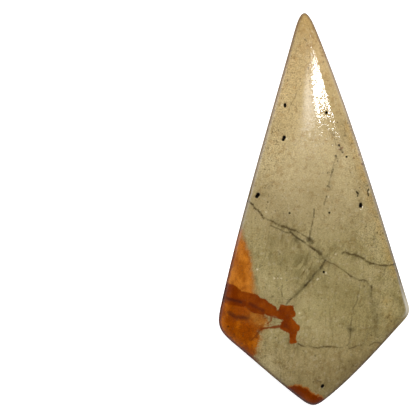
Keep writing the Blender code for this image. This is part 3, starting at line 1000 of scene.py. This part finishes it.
# The layers of colour in the order they lie, each with the attribute that says where it is,
# how far in mm its edge wanders with the grain, the attribute's values at which it starts and
# is full, the length and breadth in mm of its markings and the degrees that they are turned
# by, a seed, the noise values at which the markings start and are full, its share at most,
# its colour and the way it is mixed in. A layer whose markings start at -1 has none.
LAYERS = (
    ("whole", 0, 0, 1, (4.5, 4.5, 0), 3.1, (0.3, 0.7), 1, "#EDEBE4", "MULTIPLY"),
    ("whole", 0, 0, 1, (0.55, 0.55, 0), 7.7, (0.5, 0.68), 0.35, "#C9AE8C", "MULTIPLY"),
    ("whole", 0, 0, 1, (0.35, 0.35, 0), 5.1, (0.55, 0.7), 0.12, "#D9CFB4", "MIX"),
    ("olive_stain", 0, 0, 1, (0.5, 0.5, 0), 5.5, (0.3, 0.6), 1, "#6E6444", "MULTIPLY"),
    ("olive_fan", 0, 0, 1, (0.3, 2.2, -32), 4.2, (0.42, 0.6), 1, "#8A8460", "MULTIPLY"),
    ("lower_half", 0, 0, 1, (0.45, 4.5, 0), 2.2, (0.52, 0.68), 0.2, "#8A7A55", "MULTIPLY"),
    ("lower_half", 0, 0, 1, (0.26, 1.2, -12), 6.9, (0.5, 0.66), 0.22, "#7C7050", "MULTIPLY"),
    ("dark_cloud_and_shade", 0, 0, 1, (1.3, 1.3, 0), 2.9, (0.3, 0.65), 1, "#BDB6A4", "MULTIPLY"),
    ("pale_cloud_and_light", 0, 0, 1, (1.3, 1.3, 0), 2.9, (0.3, 0.65), 0.6, "#C2B184", "MIX"),
    ("gold_stain", 0, 0, 1, (0.5, 0.5, 0), 4.9, (0.2, 0.6), 1, "#B6904B", "MIX"),
    ("orange_upper", 0.22, -0.45, 0.4, (1.1, 1.8, 0), 1.4, (-1, 0), 1, ORANGE_DEEP, "MIX"),
    ("orange_upper", 0.22, -0.15, 0.45, (1.1, 1.8, 0), 1.4, (0.35, 0.62), 1, ORANGE_LIGHT, "MIX"),
    ("orange_upper", 0, 0, 0.2, (0.35, 0.5, -20), 8.8, (0.52, 0.64), 0.5, "#8C480E", "MIX"),
    ("orange_lower", 0.6, -0.45, 0.35, (1.1, 1.8, 0), 1.4, (-1, 0), 1, "#883F04", "MIX"),
    ("orange_lower", 0.6, -0.25, 0.45, (1.1, 1.8, 0), 1.4, (0.42, 0.7), 1, "#B05E0A", "MIX"),
    ("orange_lower", 0, 0, 0.2, (0.35, 0.5, -20), 8.8, (0.52, 0.64), 0.5, "#6E3408", "MIX"),
    ("gold_in_orange", 0, 0, 1, (0.5, 0.5, 0), 4.9, (0.2, 0.6), 0.8, "#A9742E", "MIX"),
    ("red_band", 0.1, -0.06, 0.08, (1.1, 1.8, 0), 1.4, (-1, 0), 1, RED_DEEP, "MIX"),
    ("red_band", 0.1, -0.06, 0.08, (1.1, 1.8, 0), 1.4, (0.35, 0.68), 1, RED_LIGHT, "MIX"),
    ("foot_patch", 0.2, -0.22, -0.02, (1.1, 1.1, 0), 1.4, (-1, 0), 0.75, ORANGE_DEEP, "MIX"),
    ("foot_patch", 0.2, -0.04, 0.12, (1.1, 1.1, 0), 1.4, (-1, 0), 1, RED_DEEP, "MIX"),
    ("foot_patch", 0.2, -0.04, 0.12, (1.1, 1.1, 0), 1.4, (0.4, 0.8), 0.8, RED_LIGHT, "MIX"),
    ("red_stain", 0, 0, 1, (0.35, 0.35, 0), 4.4, (0.25, 0.55), 1, VEIN_COLOUR, "MIX"),
)

# Specks through the whole rock: how far apart in mm, a seed, the share of places that have
# none, and their colour. A speck is full, and ends, at these shares of how far apart they are.
SPECKS = (
    (0.32, 1, 0.62, "#5C4C2E"),
    (0.45, 4, 0.72, "#4A3B24"),
)
SPECK_ENDS = (0.14, 0.3)

# The drawn marks in the order they lie: the attribute, the colour, how soft the edge is and
# how far the grain shifts it, both in half widths, and the share left where a crack is faint
MARKS = (
    ("fine_cracks", "#4A3F26", 0.7, 3, 0.35),
    ("soft_fractures", "#4C4228", 0.9, 1.6, 0.55),
    ("branch_fractures", "#3E3420", 0.7, 2.4, 0.35),
    ("main_fractures", "#43351E", 0.85, 2.6, 0.45),
    ("red_veins", RED_DEEP, 0.6, 1.4, 1),
    ("dark_veins", VEIN_COLOUR, 0.95, 1.2, 1),
    ("pale_specks", "#E6D8B4", 0.8, 3, 1),
    ("rust_specks", "#6A3A1C", 0.8, 3, 1),
    ("dark_specks", "#33291A", 0.8, 3, 1),
    ("open_pits", "#0B0806", 0.35, 0, 1),
)

# Painted shade round the dome's rim and on the edge, greyer with a painted grey reflection above,
# browner below, and a painted white reflection of the table in a spot by the sharper side corner
RIM_SHADE_AND_REFLECTION_COLOURS = (
    ("rim_shade_grey_reflection", "#B8B0B4", "MULTIPLY"),
    ("rim_shade_low", "#A89478", "MULTIPLY"),
    ("rim_table_reflection", "#C9C2B0", "MIX"),
)


def jasper(name, roughness, relief, worn):
    """The stone's colours with a finish: its roughness, and its relief in mm.

    The polished finish reflects as far as the attribute polish says, a worn one not at all.
    """
    material, node = new_material(name)
    place = node("TexCoord").outputs["Object"]
    grain_place, wander_place, ragged_place, faint_place, ripple_place = [
        node("VectorMath", {0: place, "Scale": 1 / (size * MM)}, operation="SCALE")
        for size in (GRAIN_SIZE, WANDER_SIZE, RAGGED_SIZE, FAINT_SIZE, RIPPLE_SIZE)
    ]

    # The ground: golden tan towards the point, olive below the main crack, and darker towards the
    # foot partly as painted shade
    y = node("SeparateXYZ", {0: place}).outputs["Y"]
    along = node("MapRange", {"Value": y, "From Min": -GROUND_REACH * MM, "From Max": GROUND_REACH * MM})
    ground = node("ValToRGB", {"Fac": along})
    stops = ground.color_ramp.elements
    for place_along, shade in GROUND_AND_SHADE_COLOURS[:-2]:
        stops.new(place_along)
    for stop, (place_along, shade) in zip(stops, GROUND_AND_SHADE_COLOURS):
        stop.position = place_along
        stop.color = linear(shade)
    colour = ground.outputs["Color"]

    grain = node("TexNoise", {"Vector": grain_place, "Scale": 1.0, "Roughness": 0.7})
    wander = node("TexNoise", {"Vector": wander_place, "Scale": 1.0, "Detail": 3.0, "Roughness": 0.75})
    wander = node("Math", {0: wander, 1: 0.5}, operation="SUBTRACT")

    for where, wanders, start, full, marking, seed, (low, high), most, shade, kind in LAYERS:
        share = node("Attribute", attribute_name=where).outputs["Fac"]
        share = node("Math", {0: wander, 1: 4 * wanders, 2: share}, operation="MULTIPLY_ADD")
        share = node("MapRange", {
            "Value": share, "From Min": start, "From Max": full, "To Max": most,
        }, interpolation_type="SMOOTHSTEP" if wanders else "LINEAR")
        if low > 0:
            length, breadth, angle = marking
            laid = node("Mapping", {
                "Vector": place, "Location": (seed * MM, 1.7 * seed * MM, 0.6 * seed * MM),
                "Rotation": (0, 0, np.radians(angle)), "Scale": (length * MM, breadth * MM, length * MM),
            }, vector_type="TEXTURE")
            noise = node("TexNoise", {"Vector": laid, "Scale": 1.0, "Detail": 3.0})
            noise = node("MapRange", {
                "Value": noise, "From Min": low, "From Max": high,
            }, interpolation_type="SMOOTHSTEP")
            share = node("Math", {0: share, 1: noise}, operation="MULTIPLY")
        colour = node(
            "Mix", {0: share, 6: colour, 7: linear(shade)}, data_type="RGBA", blend_type=kind
        ).outputs[2]

    # The light and dark of the grains, over every colour
    speckled = node("Attribute", attribute_name="speckled").outputs["Fac"]
    tone = node("Math", {0: grain, 1: 0.5}, operation="SUBTRACT")
    depth = node("MapRange", {
        "Value": speckled, "From Min": SPECKLED_LEAST, "From Max": SPECKLED_LEAST + SPECKLED_MORE,
        "To Min": GRAIN_DEPTHS[0], "To Max": GRAIN_DEPTHS[1],
    })
    tone = node("Math", {0: tone, 1: depth, 2: 1.0}, operation="MULTIPLY_ADD")
    colour = node("VectorMath", {0: colour, "Scale": tone.outputs[0]}, operation="SCALE")

    for apart, seed, without, shade in SPECKS:
        laid = node("VectorMath", {0: place, 1: [seed * MM] * 3}, operation="ADD")
        cells = node("TexVoronoi", {"Vector": laid, "Scale": 1 / (apart * MM)})
        dot = node("MapRange", {
            "Value": cells.outputs["Distance"], "From Min": SPECK_ENDS[0], "From Max": SPECK_ENDS[1],
            "To Min": 1.0, "To Max": 0.0,
        }, interpolation_type="SMOOTHSTEP")
        chosen = node("SeparateColor", {0: cells.outputs["Color"]})
        chosen = node("Math", {0: chosen, 1: without}, operation="GREATER_THAN")
        share = node("Math", {0: dot, 1: chosen}, operation="MULTIPLY")
        share = node("Math", {0: share, 1: speckled}, operation="MULTIPLY")
        colour = node("Mix", {0: share, 6: colour, 7: linear(shade)}, data_type="RGBA").outputs[2]

    # Cracks, specks and pits, each drawn from its offset in half widths; the pits' near black is
    # partly painted shade in their hollows
    ragged = node("TexNoise", {"Vector": ragged_place, "Scale": 1.0, "Detail": 3.0})
    ragged = node("VectorMath", {0: ragged.outputs["Color"], 1: (0.5, 0.5, 0.5)}, operation="SUBTRACT")
    faint = node("TexNoise", {"Vector": faint_place, "Scale": 1.0, "Detail": 3.0})
    for where, shade, soft, shift, least in MARKS:
        offset = node("Attribute", attribute_name=where).outputs["Vector"]
        strength = node("SeparateXYZ", {0: offset}).outputs["Z"]
        offset = node(
            "VectorMath", {0: ragged, 1: (shift, shift, 0.0), 2: offset}, operation="MULTIPLY_ADD"
        )
        flat = node("VectorMath", {0: offset, 1: (1.0, 1.0, 0.0)}, operation="MULTIPLY")
        away = node("VectorMath", {0: flat}, operation="LENGTH")
        share = node("MapRange", {
            "Value": away.outputs["Value"], "From Min": 1 - soft, "From Max": 1 + soft,
            "To Min": 1.0, "To Max": 0.0,
        }, interpolation_type="SMOOTHSTEP")
        share = node("Math", {0: share, 1: strength}, operation="MULTIPLY")
        if least < 1:
            kept = node("MapRange", {
                "Value": faint, "From Min": FAINT_VALUES[0], "From Max": FAINT_VALUES[1], "To Min": least,
            }, interpolation_type="SMOOTHSTEP")
            share = node("Math", {0: share, 1: kept}, operation="MULTIPLY")
        colour = node("Mix", {0: share, 6: colour, 7: linear(shade)}, data_type="RGBA").outputs[2]

    for where, shade, kind in RIM_SHADE_AND_REFLECTION_COLOURS:
        share = node("Attribute", attribute_name=where).outputs["Fac"]
        colour = node(
            "Mix", {0: share, 6: colour, 7: linear(shade)}, data_type="RGBA", blend_type=kind
        ).outputs[2]

    # The relief: shallow ripples of the ground, and each crystal's own tilt
    ripple = node("TexNoise", {"Vector": ripple_place, "Scale": 1.0, "Roughness": 0.6})
    bump = node("Bump", {"Height": ripple, "Strength": 1.0, "Distance": relief * MM})
    crystals = node("TexVoronoi", {"Vector": place, "Scale": 1 / (CRYSTAL_SIZE * MM)})
    tilt = node("VectorMath", {0: crystals.outputs["Color"], 1: (0.5, 0.5, 0.5)}, operation="SUBTRACT")
    tilt = node("VectorMath", {0: tilt, 1: [CRYSTAL_TILT] * 3, 2: bump}, operation="MULTIPLY_ADD")
    tilt = node("VectorMath", {0: tilt}, operation="NORMALIZE")

    polish = 0.0
    if not worn:
        polish = node("Attribute", attribute_name="polish").outputs["Fac"]
    surface = node("BsdfPrincipled", {
        "Base Color": colour, "IOR": QUARTZ_IOR, "Roughness": roughness, "Specular IOR Level": polish,
        "Normal": tilt,
    })
    node("OutputMaterial", {"Surface": surface})
    return material


# A fine polish: sharp reflections, broken up a little by the relief of the grains
stone.data.materials.append(jasper("polished jasper", 0.08, 0.004, False))
# A ground and sawn face: dull, without reflections
stone.data.materials.append(jasper("ground and sawn jasper", 0.5, 0.012, True))
material_numbers = np.zeros(len(stone.data.polygons), dtype=np.int32)
material_numbers[len(top_quads) :] = 1
stone.data.polygons.foreach_set("material_index", material_numbers)

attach(stone, "root")
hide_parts("cabochon")
